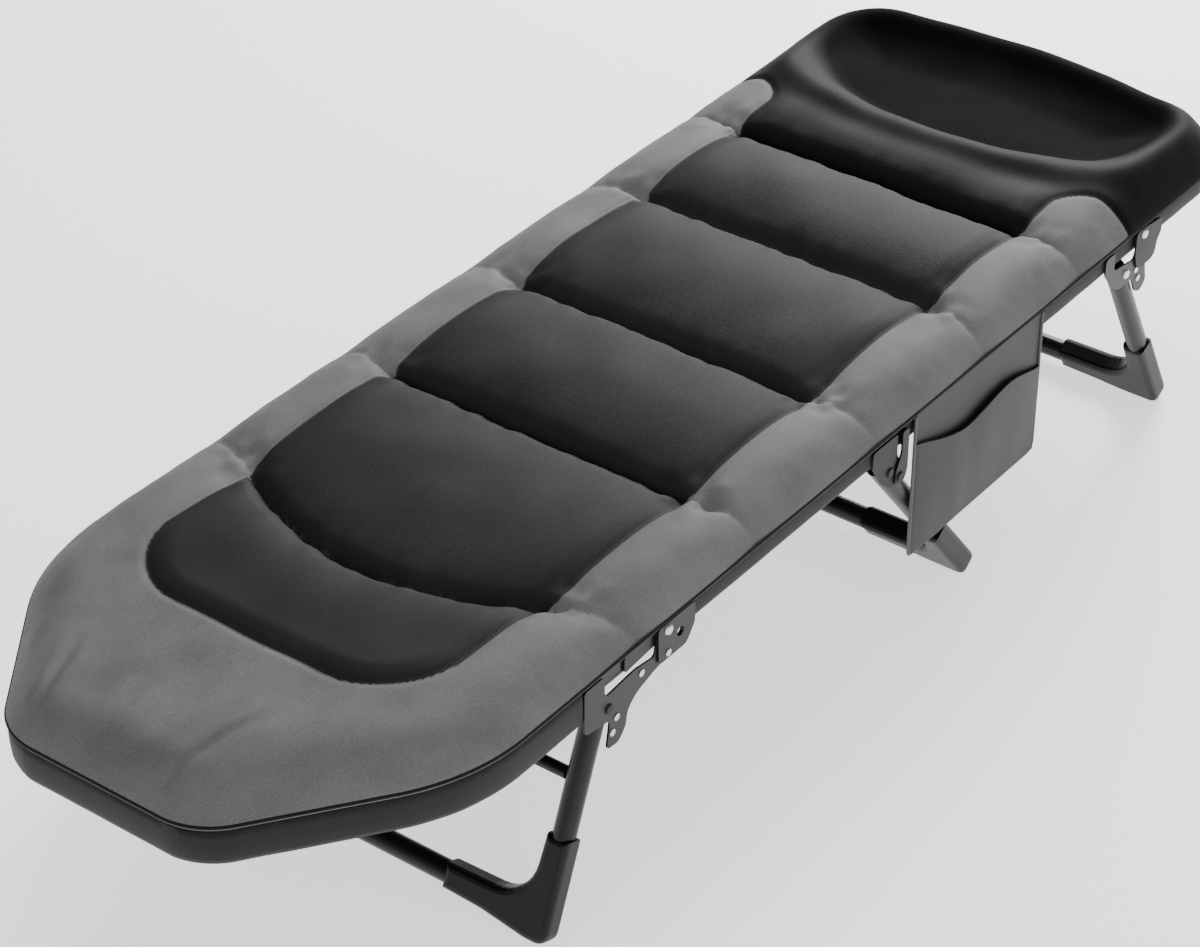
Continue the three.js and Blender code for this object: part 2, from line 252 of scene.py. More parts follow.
print("camera and light")
viewpoint = {
    "place": (-3.012, -2.187, 2.808), "downFrom": 54.77, "heading": -53.25, "roll": 0.16, "lens": 109.6,
}
bpy.ops.object.camera_add(location=(
    viewpoint["place"][0], viewpoint["place"][1] + centreY, viewpoint["place"][2]))
camera = newest("viewCamera")
camera.rotation_euler = (
    Matrix.Rotation(math.radians(viewpoint["heading"]), 3, "Z")
    @ Matrix.Rotation(math.radians(viewpoint["downFrom"]), 3, "X")
    @ Matrix.Rotation(math.radians(viewpoint["roll"]), 3, "Z")).to_euler()
camera.data.lens = viewpoint["lens"]
camera.data.sensor_width = 36
camera.data.clip_end = 60
bpy.context.scene.camera = camera

lamps = {
    "keyLight": {"place": (3.3, 0.9, 1.7), "aim": (0.0, 0, 0.3), "size": 1.4, "power": 170},
    "sideLight": {"place": (-1.2, -3.4, 2.0), "aim": (0.1, 0, 0.3), "size": 2.0, "power": 26},
    "overLight": {"place": (0.6, 0.6, 3.8), "aim": (0, 0, 0.3), "size": 2.6, "power": 52},
}
for name, lamp in lamps.items():
    deselectAll()
    bpy.ops.object.light_add(type="AREA", location=lamp["place"])
    light = newest(name)
    light.data.size = lamp["size"]
    light.data.energy = lamp["power"]
    aim = Vector(lamp["aim"]) - Vector(lamp["place"])
    light.rotation_euler = aim.to_track_quat("-Z", "Y").to_euler()

world = bpy.data.worlds.new("softSurround")
world.use_nodes = True
world.node_tree.nodes["Background"].inputs["Color"].default_value = (1, 1, 1, 1)
world.node_tree.nodes["Background"].inputs["Strength"].default_value = 0.35
bpy.context.scene.world = world


def linear(hexColour):
    # sRGB hex to the linear values that a shader takes.
    parts = [int(hexColour[start:start + 2], 16) / 255 for start in (1, 3, 5)]
    return tuple(p / 12.92 if p <= 0.04045 else ((p + 0.055) / 1.055) ** 2.4 for p in parts) + (1,)


def addNode(tree, kind, settings=None, inputs=None, links=None):
    node = tree.nodes.new(kind)
    for name, value in (settings or {}).items():
        setattr(node, name, value)
    for name, value in (inputs or {}).items():
        node.inputs[name].default_value = value
    for name, source in (links or {}).items():
        tree.links.new(source, node.inputs[name])
    return node


def startFinish(name, **constants):
    material = bpy.data.materials.new(name)
    material.use_nodes = True
    shader = material.node_tree.nodes["Principled BSDF"]
    for socket, value in constants.items():
        shader.inputs[socket.replace("_", " ")].default_value = value
    return material, material.node_tree, shader


def bandScale(period):
    return 2 * math.pi / (20 * period)  # a band texture repeats every 2 pi / (20 scale) metres


def weave(tree, coordinates, period, distance, strength, fibre):
    # Two crossed thread directions and loose fibres, as a bump.
    bands = [addNode(tree, "ShaderNodeTexWave", {"bands_direction": axis},
                     {"Scale": bandScale(period), "Distortion": 1.2, "Detail": 1.0, "Detail Scale": 2.0},
                     {"Vector": coordinates}) for axis in ("X", "Y")]
    cross = addNode(tree, "ShaderNodeMath", {"operation": "MULTIPLY"}, None,
                    {0: bands[0].outputs["Fac"], 1: bands[1].outputs["Fac"]})
    loose = addNode(tree, "ShaderNodeTexNoise", None,
                    {"Scale": 1 / fibre, "Detail": 3.0, "Roughness": 0.6}, {"Vector": coordinates})
    both = addNode(tree, "ShaderNodeMath", {"operation": "MULTIPLY_ADD"}, {1: 0.8},
                   {0: loose.outputs["Fac"], 2: cross.outputs[0]})
    return addNode(tree, "ShaderNodeBump", None, {"Strength": strength, "Distance": distance},
                   {"Height": both.outputs[0]}).outputs["Normal"]


padLook = {
    "greyDark": "#606062", "greyLight": "#7a7a7d", "charcoalDark": "#131314", "charcoalLight": "#1c1c1d",
    "headDark": "#040404", "headLight": "#090909", "thread": 0.0024, "fibre": 0.0016,
}


def brushedPolyester():
    # Brushed polyester over soft filling: matt, faintly mottled yarns, duller in the black head part, and painted
    # shade in the pillow's hollow, where its reflection is turned almost off.
    material, tree, shader = startFinish("brushedPolyester", Roughness=0.7)
    place = addNode(tree, "ShaderNodeTexCoord").outputs["Object"]
    yarn = addNode(tree, "ShaderNodeTexNoise", None,
                   {"Scale": 1 / padLook["fibre"], "Detail": 2.0, "Roughness": 0.7}, {"Vector": place})
    cloud = addNode(tree, "ShaderNodeTexNoise", None,
                    {"Scale": 11.0, "Detail": 3.0, "Roughness": 0.55}, {"Vector": place})
    mottle = addNode(tree, "ShaderNodeMix", {"data_type": "FLOAT"}, {0: 0.4},
                     {2: yarn.outputs["Fac"], 3: cloud.outputs["Fac"]}).outputs[0]
    spread = addNode(tree, "ShaderNodeMapRange", None, {"From Min": 0.36, "From Max": 0.64},
                     {"Value": mottle})
    pairs = [("greyDark", "greyLight"), ("charcoalDark", "charcoalLight"), ("headDark", "headLight")]
    colours = [addNode(tree, "ShaderNodeMix", {"data_type": "RGBA"},
                       {6: linear(padLook[low]), 7: linear(padLook[high])},
                       {0: spread.outputs[0]}).outputs[2] for low, high in pairs]
    edges = []
    for name in ("darkDepth", "headDepth"):
        depth = addNode(tree, "ShaderNodeAttribute", {"attribute_name": name})
        edges.append(addNode(tree, "ShaderNodeMapRange", None, {"From Min": -0.0007, "From Max": 0.0007},
                             {"Value": depth.outputs["Fac"]}).outputs[0])
    dark = addNode(tree, "ShaderNodeMix", {"data_type": "RGBA"}, None,
                   {0: edges[1], 6: colours[1], 7: colours[2]}).outputs[2]
    whole = addNode(tree, "ShaderNodeMix", {"data_type": "RGBA"}, None,
                    {0: edges[0], 6: colours[0], 7: dark}).outputs[2]
    seam = addNode(tree, "ShaderNodeAttribute", {"attribute_name": "seamDepth"})
    line = addNode(tree, "ShaderNodeMapRange", None, {"From Min": 0.0006, "From Max": 0.0022},
                   {"Value": seam.outputs["Fac"]})
    sewn = addNode(tree, "ShaderNodeMix", {"data_type": "RGBA"}, {6: linear("#19191a")},
                   {0: line.outputs[0], 7: whole}).outputs[2]
    tree.links.new(sewn, shader.inputs["Base Color"])
    # Painted shade: in the pillow's hollow the reflection drops almost to nothing.
    hollow = addNode(tree, "ShaderNodeAttribute", {"attribute_name": "hollowShadeShare"})
    shine = addNode(tree, "ShaderNodeMix", {"data_type": "FLOAT"}, {2: 0.24, 3: 0.16},
                    {0: edges[1]}).outputs[0]
    shadeDulled = addNode(tree, "ShaderNodeMix", {"data_type": "FLOAT"}, {3: 0.02},
                     {0: hollow.outputs["Fac"], 2: shine}).outputs[0]
    tree.links.new(shadeDulled, shader.inputs["Specular IOR Level"])
    tree.links.new(weave(tree, place, padLook["thread"], 0.0004, 0.45, padLook["fibre"]),
                   shader.inputs["Normal"])
    return material


def wovenCloth(name, dark, light, thread, roughness):
    # Plain woven polyester: fine crossed threads, slightly uneven dye, low shine.
    material, tree, shader = startFinish(name, Roughness=roughness, Specular_IOR_Level=0.3, Sheen_Weight=0.08)
    place = addNode(tree, "ShaderNodeTexCoord").outputs["Object"]
    turned = addNode(tree, "ShaderNodeMapping", None, {"Rotation": (math.radians(90), 0, 0)},
                     {"Vector": place})
    cloud = addNode(tree, "ShaderNodeTexNoise", None, {"Scale": 22.0, "Detail": 5.0, "Roughness": 0.7},
                    {"Vector": place})
    colour = addNode(tree, "ShaderNodeMix", {"data_type": "RGBA"}, {6: linear(dark), 7: linear(light)},
                     {0: cloud.outputs["Fac"]})
    tree.links.new(colour.outputs[2], shader.inputs["Base Color"])
    tree.links.new(weave(tree, turned.outputs[0], thread, 0.0003, 0.5, 0.0011), shader.inputs["Normal"])
    return material


def coatedSteel(name, dark, light, grain, roughness):
    # Powder coated steel: a fine orange peel, satin shine and very small changes of tone.
    material, tree, shader = startFinish(name, Specular_IOR_Level=0.28)
    place = addNode(tree, "ShaderNodeTexCoord").outputs["Object"]
    peel = addNode(tree, "ShaderNodeTexNoise", None, {"Scale": 1 / grain, "Detail": 2.0},
                   {"Vector": place})
    cloud = addNode(tree, "ShaderNodeTexNoise", None, {"Scale": 30.0, "Detail": 4.0},
                    {"Vector": place})
    colour = addNode(tree, "ShaderNodeMix", {"data_type": "RGBA"}, {6: linear(dark), 7: linear(light)},
                     {0: cloud.outputs["Fac"]})
    shine = addNode(tree, "ShaderNodeMapRange", None,
                    {"To Min": roughness - 0.05, "To Max": roughness + 0.07}, {"Value": cloud.outputs["Fac"]})
    bump = addNode(tree, "ShaderNodeBump", None, {"Strength": 0.25, "Distance": 0.0002},
                   {"Height": peel.outputs["Fac"]})
    tree.links.new(colour.outputs[2], shader.inputs["Base Color"])
    tree.links.new(shine.outputs[0], shader.inputs["Roughness"])
    tree.links.new(bump.outputs[0], shader.inputs["Normal"])
    return material


def nickelPlate():
    # Nickel plated rivet heads: bright metal with faint turning marks.
    material, tree, shader = startFinish("nickelPlate", Metallic=1.0)
    place = addNode(tree, "ShaderNodeTexCoord").outputs["Object"]
    marks = addNode(tree, "ShaderNodeTexNoise", None, {"Scale": 900.0, "Detail": 3.0}, {"Vector": place})
    colour = addNode(tree, "ShaderNodeMix", {"data_type": "RGBA"},
                     {6: linear("#b9b8b4"), 7: linear("#dcdbd7")}, {0: marks.outputs["Fac"]})
    shine = addNode(tree, "ShaderNodeMapRange", None, {"To Min": 0.16, "To Max": 0.34},
                    {"Value": marks.outputs["Fac"]})
    tree.links.new(colour.outputs[2], shader.inputs["Base Color"])
    tree.links.new(shine.outputs[0], shader.inputs["Roughness"])
    return material


print("finishes")
finishes = {
    "pad": brushedPolyester(),
    "canvas": wovenCloth("blackCanvas", "#0a0a0a", "#121213", 0.0018, 0.7),
    "pocket": wovenCloth("pocketPolyester", "#17171a", "#242426", 0.0018, 0.55),
    "piping": wovenCloth("blackPiping", "#060606", "#0c0c0c", 0.0015, 0.85),
    "pocketPiping": wovenCloth("greyPiping", "#4a4b4e", "#606265", 0.0015, 0.65),
    "frame_tube": coatedSteel("powderCoatedTube", "#121213", "#19191a", 0.0007, 0.3),
    "hinge_plate": coatedSteel("powderCoatedPlate", "#111112", "#19191a", 0.0007, 0.38),
    # A darker copy of the coated plate, used as painted shade.
    "paintedShadePlate": coatedSteel("paintedShadeCoatedPlate", "#070707", "#0d0d0e", 0.0007, 0.5),
    "black_plastic": coatedSteel("mouldedNylon", "#080808", "#0e0e0f", 0.0009, 0.42),
    "nickel_rivet": nickelPlate(),
}
# These few get a darker copy of the black coat, heads too, as painted shade.
paintedShadeParts = ("middle_leg_bracket", "middle_hinge", "middle_leg_pin", "front_leg_pin", "head_ratchet")
clothSlots = {"sling_canvas": "canvas", "pad_cover": "pad", "pocket_cloth": "pocket"}
for part in frame["record"]["subparts"]:
    node = frame["nodes"][part["node"]]
    slot = part["material_slot"]
    inPaintedShade = part["node"].startswith(paintedShadeParts)
    finish = finishes["paintedShadePlate" if inPaintedShade else clothSlots.get(slot, slot)]
    if node.data.materials:
        node.data.materials[0] = finish
    else:
        node.data.materials.append(finish)


def paint(piece, finish):
    piece.data.materials.clear()
    piece.data.materials.append(finishes[finish])


print("padding")
padShape = {
    "bottom": 324.6, "edgeTop": 331, "edgeRise": 41, "edgeReach": 72, "edgePower": 2.6,
    "creases": [(-543, 73, 38), (-210, 0, 6), (44, 0, 4), (308, 0, -22), (518, 0, -3)],
    "panelHalfWidth": 221, "panelValley": 27, "panelRaise": 6, "panelRound": 20, "panelOverlap": 4,
    "borderWidth": 95, "borderValley": 15, "borderFrom": 200, "borderTo": 250,
    "panelCrown": (2, 0.72), "borderCrown": (2.6, 0.6), "endCrown": (2.4, 0.6),
    "footRise": 110, "headRise": 90, "seamDip": 3.5, "seamWidth": 5,
    "crescentEnd": -722, "crescentInset": 8, "crescentRound": 112, "crescentSeamRound": 14,
    "greyEnd": 640, "greyRound": 55, "middleSwell": 3,
    "cell": 4.5, "columns": 140,
}
pillowShape = {  # the hollow oval at the head and the rolls round it
    "middle": (832, 12), "half": (190, 318), "depth": 27, "rim": 9, "rimAt": 46, "rimWidth": 26,
    "ridge": 11, "ridgeAt": 1.1, "ridgeWidth": 0.13,
}
wrinkles = {  # kind: lengths along and across, height, seed
    "lump": (95, 80, 3.2, 3.1), "cornerPucker": (32, 19, 11.0, 7.7), "creaseTuck": (60, 22, 4.0, 5.2),
    "rimPucker": (24, 24, 2.0, 9.3), "footCrease": (120, 38, 5.0, 12.5),
}
wrinkleReach = {  # where each kind fades away
    "cornerAt": 236, "cornerWidth": 36, "cornerLength": 34, "creaseLength": 26,
    "rimAt": 16, "rimWidth": 12, "footAt": -850, "footLength": 80,
}
footFolds = {  # each from a place to a place, with its depth
    "routes": [(-948, 105, -845, 140, 4.5), (-955, -82, -815, -104, 4.5), (-945, 20, -860, 30, 2.5)],
    "width": 7, "lipAt": 15, "lipWidth": 11, "lipShare": 0.5,
}


def creaseLine(y, crease):
    middle, bow, slant = crease
    half = padShape["panelHalfWidth"]
    return (middle + bow * np.minimum(np.abs(y) / half, 1) ** 2
            + slant * np.clip((np.abs(y) - half) / padShape["borderWidth"], 0, 1.2))


def boxDepth(x, y, low, high, half, roundLow, roundHigh):
    # How far inside a rounded box a place is, below zero outside it.
    radius = np.where(x < (low + high) / 2, roundLow, roundHigh)
    outX = np.abs(x - (low + high) / 2) - (high - low) / 2 + radius
    outY = np.abs(y) - half + radius
    outside = np.hypot(np.maximum(outX, 0), np.maximum(outY, 0)) + np.minimum(np.maximum(outX, outY), 0)
    return radius - outside


def darkDepthOf(x, y):
    # How far inside the dark panels a place is: crescent, panels, neck and the whole head.
    s, half, lap = padShape, padShape["panelHalfWidth"], padShape["panelOverlap"]
    turn = s["panelRound"]
    lines = [creaseLine(np.minimum(np.abs(y), half), crease) for crease in s["creases"]]
    best = boxDepth(x, y, s["crescentEnd"], lines[0] + lap, half - s["crescentInset"],
                    s["crescentRound"], s["crescentSeamRound"])
    for low, high in zip(lines, lines[1:]):
        best = np.maximum(best, boxDepth(x, y, low - lap, high + lap, half, turn, turn))
    farEnd = 1400  # well past the head end
    neck = boxDepth(x, y, lines[-1] - lap, farEnd, half, turn, turn)
    head = x - s["greyEnd"]
    corner = s["greyRound"]  # the grey border ends in a rounded tip
    outX, outY = s["greyEnd"] - x, np.abs(y) - half
    tip = np.hypot(np.minimum(outX - corner, 0), np.minimum(outY - corner, 0)) - corner
    inTip = (outX < corner) & (outY < corner) & (x < s["greyEnd"] + 60)
    return np.maximum(best, np.where(inTip, tip, np.maximum(neck, head)))


def headDepthOf(x, y):
    return x - creaseLine(y, padShape["creases"][-1])


def ovalOf(x, y):
    # 0 at the middle of the pillow's hollow and 1 at its edge.
    (middleX, middleY), (halfX, halfY) = pillowShape["middle"], pillowShape["half"]
    return np.hypot((x - middleX) / halfX, (y - middleY) / halfY)


# How far inside the pillow's hollow a place is, for the painted shade there.
def hollowShadeShareOf(x, y):
    fromEdge = edgeDistance(np.stack([x, y], 1))
    return (1 - smoothStep(ovalOf(x, y), 0.78, 0.94)) * smoothStep(fromEdge, 12, 45)


def seamDepthOf(x, y):
    # Distance to the nearest sewn line: round the dark panels and along the creases between them.
    dark = darkDepthOf(x, y)
    lines = np.array([creaseLine(y, crease) for crease in padShape["creases"]])
    farAway = 99
    onPanel = np.where(np.abs(y) < padShape["panelHalfWidth"], np.abs(x - lines).min(0), farAway)
    return np.minimum(np.abs(dark), onPanel)


def bell(value, width):
    return np.exp(-(value / width) ** 2)


def rounded(share, powers):
    return (1 - share ** powers[0]) ** powers[1]


def wrinkle(kind, x, y):
    lengthX, lengthY, height, seed = wrinkles[kind]
    return height * softNoise(x, y, lengthX, lengthY, seed)


def creaseValleys(x, y, lines, inBorder):
    # How far the top drops towards the creases: nothing at a section's crown.
    s, count = padShape, len(lines)
    section = (x > lines).sum(0)
    below = np.take_along_axis(lines, np.maximum(section - 1, 0)[None], 0)[0]
    above = np.take_along_axis(lines, np.minimum(section, count - 1)[None], 0)[0]
    within = np.clip((x - below) / np.maximum(above - below, 1), 0, 1)
    reach = np.abs(2 * within - 1)
    full = (1 - inBorder) * rounded(reach, s["panelCrown"]) + inBorder * rounded(reach, s["borderCrown"])
    toFoot = 1 - np.clip((above - x) / s["footRise"], 0, 1)
    toHead = 1 - np.clip((x - below) / s["headRise"], 0, 1)
    full = np.where(section == 0, rounded(toFoot, s["endCrown"]), full)
    full = np.where(section == count, rounded(toHead, s["endCrown"]), full)
    return (s["panelValley"] * (1 - inBorder) + s["borderValley"] * inBorder) * (1 - full)


def pillowRelief(x, y, fromEdge):
    s, oval = pillowShape, ovalOf(x, y)
    inside = (1 - smoothStep(oval, 0.74, 1.0)) * smoothStep(fromEdge, 8, 150)
    rim = smoothStep(x, 640, 800) * bell(fromEdge - s["rimAt"], s["rimWidth"])
    ridge = bell(oval - s["ridgeAt"], s["ridgeWidth"])
    ridge = ridge * smoothStep(x, 560, 640) * smoothStep(fromEdge, 20, 70)
    return s["rim"] * rim + s["ridge"] * ridge - s["depth"] * inside


def footFoldRelief(x, y):
    s, total = footFolds, 0
    for startX, startY, endX, endY, depth in s["routes"]:
        step = np.array([endX - startX, endY - startY], float)
        share = ((x - startX) * step[0] + (y - startY) * step[1]) / (step @ step)
        offset = ((x - startX) * -step[1] + (y - startY) * step[0]) / np.linalg.norm(step)
        fade = smoothStep(share, -0.25, 0.25) * (1 - smoothStep(share, 0.7, 1.25))
        lip = s["lipShare"] * bell(offset - s["lipAt"], s["lipWidth"])
        total = total + fade * depth * (lip - bell(offset, s["width"]))
    return total


def padTop(x, y, fromEdge, dark):
    # Height of the padding: crowned sections, seams, the pillow, then its wrinkles.
    s, reach = padShape, wrinkleReach
    lines = np.array([creaseLine(y, crease) for crease in s["creases"]])
    inBorder = smoothStep(np.abs(y), s["borderFrom"], s["borderTo"])
    fromRim = np.clip(fromEdge / s["edgeReach"], 0, 1)
    height = s["edgeTop"] + s["edgeRise"] * (1 - (1 - fromRim) ** s["edgePower"])
    shallow = 0.25 + 0.75 * smoothStep(fromEdge, 0, 55)  # creases get shallow at the rim
    height = height - shallow * creaseValleys(x, y, lines, inBorder)
    height = height + s["panelRaise"] * smoothStep(dark, 0, 30) * (1 - smoothStep(x, 560, 640))
    height = height - s["seamDip"] * bell(dark, s["seamWidth"])
    acrossPanel = np.clip(y / s["panelHalfWidth"], -1, 1)
    height = height + s["middleSwell"] * (1 - acrossPanel ** 2) * smoothStep(x, -720, -600)
    height = height + pillowRelief(x, y, fromEdge)
    nearest = np.abs(x - lines).min(0)
    atCorner = bell(nearest, reach["cornerLength"])
    atCorner = atCorner * bell(np.abs(y) - reach["cornerAt"], reach["cornerWidth"])
    inCrease = bell(nearest, reach["creaseLength"]) * (1 - inBorder)
    atRim = bell(fromEdge - reach["rimAt"], reach["rimWidth"])
    atFoot = bell(x - reach["footAt"], reach["footLength"])
    relief = wrinkle("lump", x, y)
    relief = relief + atCorner * wrinkle("cornerPucker", x, y)
    relief = relief + inCrease * wrinkle("creaseTuck", x, y)
    relief = relief + atRim * wrinkle("rimPucker", x, y)
    relief = relief + atFoot * wrinkle("footCrease", x, y)
    live = smoothStep(fromEdge, 4, 30)  # the rim itself stays even, for the piping
    return height + live * (relief + footFoldRelief(x, y))


def padPatch(low, high):
    # Places in plan for one section: straight lines between the sides, or a patch that follows a round end.
    s, half = padShape, outlineShape["halfWidth"]
    isFoot, isHead = low <= outlineShape["footEnd"], high >= outlineShape["headEnd"]
    across = np.linspace(-half, half, s["columns"] + 1)
    if not (isFoot or isHead):
        rows = max(3, int((high - low) / s["cell"]))
        x, y = np.meshgrid(np.linspace(low, high, rows + 1), across, indexing="ij")
        return np.stack([x, y], -1)
    line = upperOutline if isFoot else upperOutline[::-1]
    gone = np.concatenate([[0], np.cumsum(np.linalg.norm(np.diff(line, axis=0), axis=1))])
    cornerAt = outlineShape["footPatchCorner" if isFoot else "headPatchCorner"]
    cut, clear = high if isFoot else low, outlineShape["nearCut"]
    end, side = line[gone <= cornerAt], line[gone >= cornerAt]
    side = side[side[:, 0] < cut - clear] if isFoot else side[side[:, 0] > cut + clear]
    side = np.concatenate([side, [[cut, half]]])[::-1]
    rows = int(np.linalg.norm(np.diff(side, axis=0), axis=1).sum() / s["cell"])
    side = evenly(side, count=rows + 1)
    end = np.concatenate([end, side[-1:]])
    end = evenly(np.concatenate([end[::-1] * (1, -1), end[1:]]), count=s["columns"] + 1)
    along = np.linspace(0, 1, rows + 1)[:, None, None]
    over = np.linspace(0, 1, s["columns"] + 1)[None, :, None]
    start = np.stack([np.full(len(across), cut), across], 1)[None]
    left, right = (side * (1, -1))[:, None], side[:, None]
    corners = ((1 - along) * ((1 - over) * start[:, :1] + over * start[:, -1:])
               + along * ((1 - over) * left[-1:] + over * right[-1:]))
    patch = (1 - along) * start + along * end[None] + (1 - over) * left + over * right - corners
    return patch[::-1] if isFoot else patch


def storeDepth(piece, name, values):
    attribute = piece.data.attributes.new(name, "FLOAT", "POINT")
    attribute.data.foreach_set("value", np.asarray(values, np.float32))


def planOf(piece):
    points = pointsOf(piece)
    return points[:, 0] * 1000, (points[:, 1] - centreY) * 1000


def makePad(name, low, high):
    bottom, lift = padShape["bottom"], 20
    patch = padPatch(low, high)
    flat = np.concatenate([patch, np.full(patch.shape[:2] + (1,), bottom)], -1)
    piece = clothGrid(name, metres(flat))
    makeActive(piece)
    bpy.ops.object.mode_set(mode="EDIT")
    bpy.ops.mesh.select_all(action="SELECT")
    bpy.ops.mesh.extrude_region_move(TRANSFORM_OT_translate={"value": (0, 0, lift / 1000)})
    bpy.ops.object.mode_set(mode="OBJECT")
    points = pointsOf(piece)
    x, y = planOf(piece)
    height = padTop(x, y, edgeDistance(np.stack([x, y], 1)), darkDepthOf(x, y))
    isTop = points[:, 2] > (bottom + lift / 2) / 1000
    points[isTop, 2] = height[isTop] / 1000
    setPoints(piece, points)
    turnOutwards(piece)
    x, y = planOf(piece)
    # The finish tells its colours and its sewn lines apart by these distances.
    storeDepth(piece, "darkDepth", darkDepthOf(x, y) / 1000)
    storeDepth(piece, "headDepth", headDepthOf(x, y) / 1000)
    storeDepth(piece, "seamDepth", seamDepthOf(x, y) / 1000)
    storeDepth(piece, "hollowShadeShare", hollowShadeShareOf(x, y))
    smooth(piece, 55)
    paint(piece, "pad")
    return piece


middleBend = {"start": 36, "end": 156, "padStart": -24, "padEnd": 216}
frontCrease, neckCrease = padShape["creases"][1][0], padShape["creases"][-1][0]
# Name, from, to, body (none where the pad bends from one to the next), joint that flattens it, share kept.
sections = [
    ("Foot", outlineShape["footEnd"], footHingeX, "foot_section", "foot_fold", 0.25),
    ("SeatFront", footHingeX, frontCrease, "seat_section", "foot_fold", 0.2),
    ("Seat", frontCrease, middleBend["padStart"], "seat_section", None, 1),
    ("Middle", middleBend["padStart"], middleBend["padEnd"], None, None, 1),
    ("Back", middleBend["padEnd"], neckCrease, "back_section", None, 1),
    ("Shoulder", neckCrease, headHingeX, "back_section", "head_recline", 0.2),
    ("Head", headHingeX, outlineShape["headEnd"], "head_section", "head_recline", 0.25),
]
padNodes = {"Foot": "foot_pad", "Seat": "seat_pad", "Back": "back_pad", "Head": "head_pad"}


def hangOn(piece, body, joint):
    if body is None:
        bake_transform(piece)
        return
    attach(piece, body)
    if joint:
        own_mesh(piece)


pipingShape = {"radius": 2.6, "height": 328.5, "inset": 0.6, "sides": 10, "spacing": 7}
for name, low, high, body, joint, keep in sections:
    pad = makePad("pad" + name, low, high)
    if name in padNodes:
        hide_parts(padNodes[name])
    hangOn(pad, body, joint)
    paths = edgePaths(low, high, pipingShape["inset"])
    for count, path in enumerate(paths):
        side = "" if len(paths) == 1 else ("Near", "Far")[count]
        path = evenly(path, pipingShape["spacing"])
        path = np.column_stack([path, np.full(len(path), pipingShape["height"])])
        piping = clothGrid("piping" + name + side, metres(
            tubeShape(path, pipingShape["radius"], pipingShape["sides"], (0, 0, 1))))
        turnOutwards(piping)
        smooth(piping, 60)
        paint(piping, "piping")
        hangOn(piping, body, joint)

print("slings and sleeves")
slingShape = {
    "top": 323.4, "sag": 5, "ripple": 0.6, "thickness": 1.2, "inset": 14, "end": 966, "leastHalfWidth": 4,
    "rowLength": 14, "columns": 41,
}
slingRuns = [  # name, from, to, body, node it stands for, rail it is held by
    ("slingFoot", -slingShape["end"], footHingeX - 37, "foot_section", "foot_sling", "foot_rail"),
    ("slingSeat", footHingeX + 30, middleHingeX - 1, "seat_section", "seat_sling", "seat_rail_left"),
    ("slingBack", middleHingeX + 1, headHingeX - 2, "back_section", "back_sling", "back_rail_left"),
    ("slingHead", headHingeX + 37, slingShape["end"], "head_section", "head_sling", "head_rail"),
]


def makeSling(name, low, high, body, node, rail):
    s = slingShape
    half = outlineShape["halfWidth"] - s["inset"]
    line = insetLine(upperOutline, s["inset"])
    line[:, 1] = np.maximum(line[:, 1], 0)
    isFoot, isHead = low == -s["end"], high == s["end"]
    low, high = max(low, line[:, 0].min()), min(high, line[:, 0].max())
    # Rows crowd towards a round end, where the width changes fast.
    share = np.linspace(0, 1, int((high - low) / s["rowLength"]) + 2)
    if isFoot:
        share = 1 - np.cos(share * math.pi / 2)
    if isHead:
        share = np.sin(share * math.pi / 2)
    x = low + (high - low) * share
    order = np.maximum.accumulate(line[:, 0] + np.arange(len(line)) * 1e-7)
    width = np.maximum(np.interp(x, order, line[:, 1]), s["leastHalfWidth"])
    over = np.linspace(-1, 1, s["columns"])[None]
    y = width[:, None] * over
    x = x[:, None] + 0 * y
    drop = s["sag"] * (1 - over ** 2) * np.clip(width[:, None] / half, 0, 1)
    drop = drop * np.sin(np.clip((x - low) / (high - low), 0.12, 0.88) * math.pi)
    z = s["top"] - drop + s["ripple"] * softNoise(x, y, 60, 45, 2.4) * (1 - over ** 2)
    piece = clothGrid(name, metres(np.stack([x, y, z], -1)))
    applyModifier(piece, "SOLIDIFY", thickness=s["thickness"] / 1000, offset=-1)
    turnOutwards(piece)
    smooth(piece, 50)
    paint(piece, "canvas")
    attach(piece, body)
    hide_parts(node)


for run in slingRuns:
    makeSling(*run)

# Each sleeve wraps a rail: inset from the pad's edge, then height.
wrapProfile = [(22.5, 302), (22.8, 298), (20, 294.6), (9, 294.2), (5.2, 296.5), (3.9, 302), (3.9, 317),
               (5.2, 322.2), (9, 324.2), (20, 324.2), (22.6, 321), (22.5, 310)]
skirtProfile = [(36, 296), (33, 284), (22, 276), (10, 273.5), (4.5, 276), (2.0, 283), (0.9, 296), (0.7, 312),
                (1.6, 321), (6, 324.2), (16, 324.4), (30, 324.0), (36, 321)]
sleeveRuns = [
    ("sleeveFoot", outlineShape["footEnd"], -535, "foot_section", skirtProfile),
    ("sleeveSeat", -345, 90, "seat_section", wrapProfile),
    ("sleeveBack", 100, 670, "back_section", wrapProfile),
    ("sleeveHead", 704, outlineShape["headEnd"], "head_section", wrapProfile),
]
sleeveShape = {
    "thickness": 1.1, "spacing": 10, "ripple": 0.7, "rippleLength": 40, "outerInset": 6, "middle": 13,
}


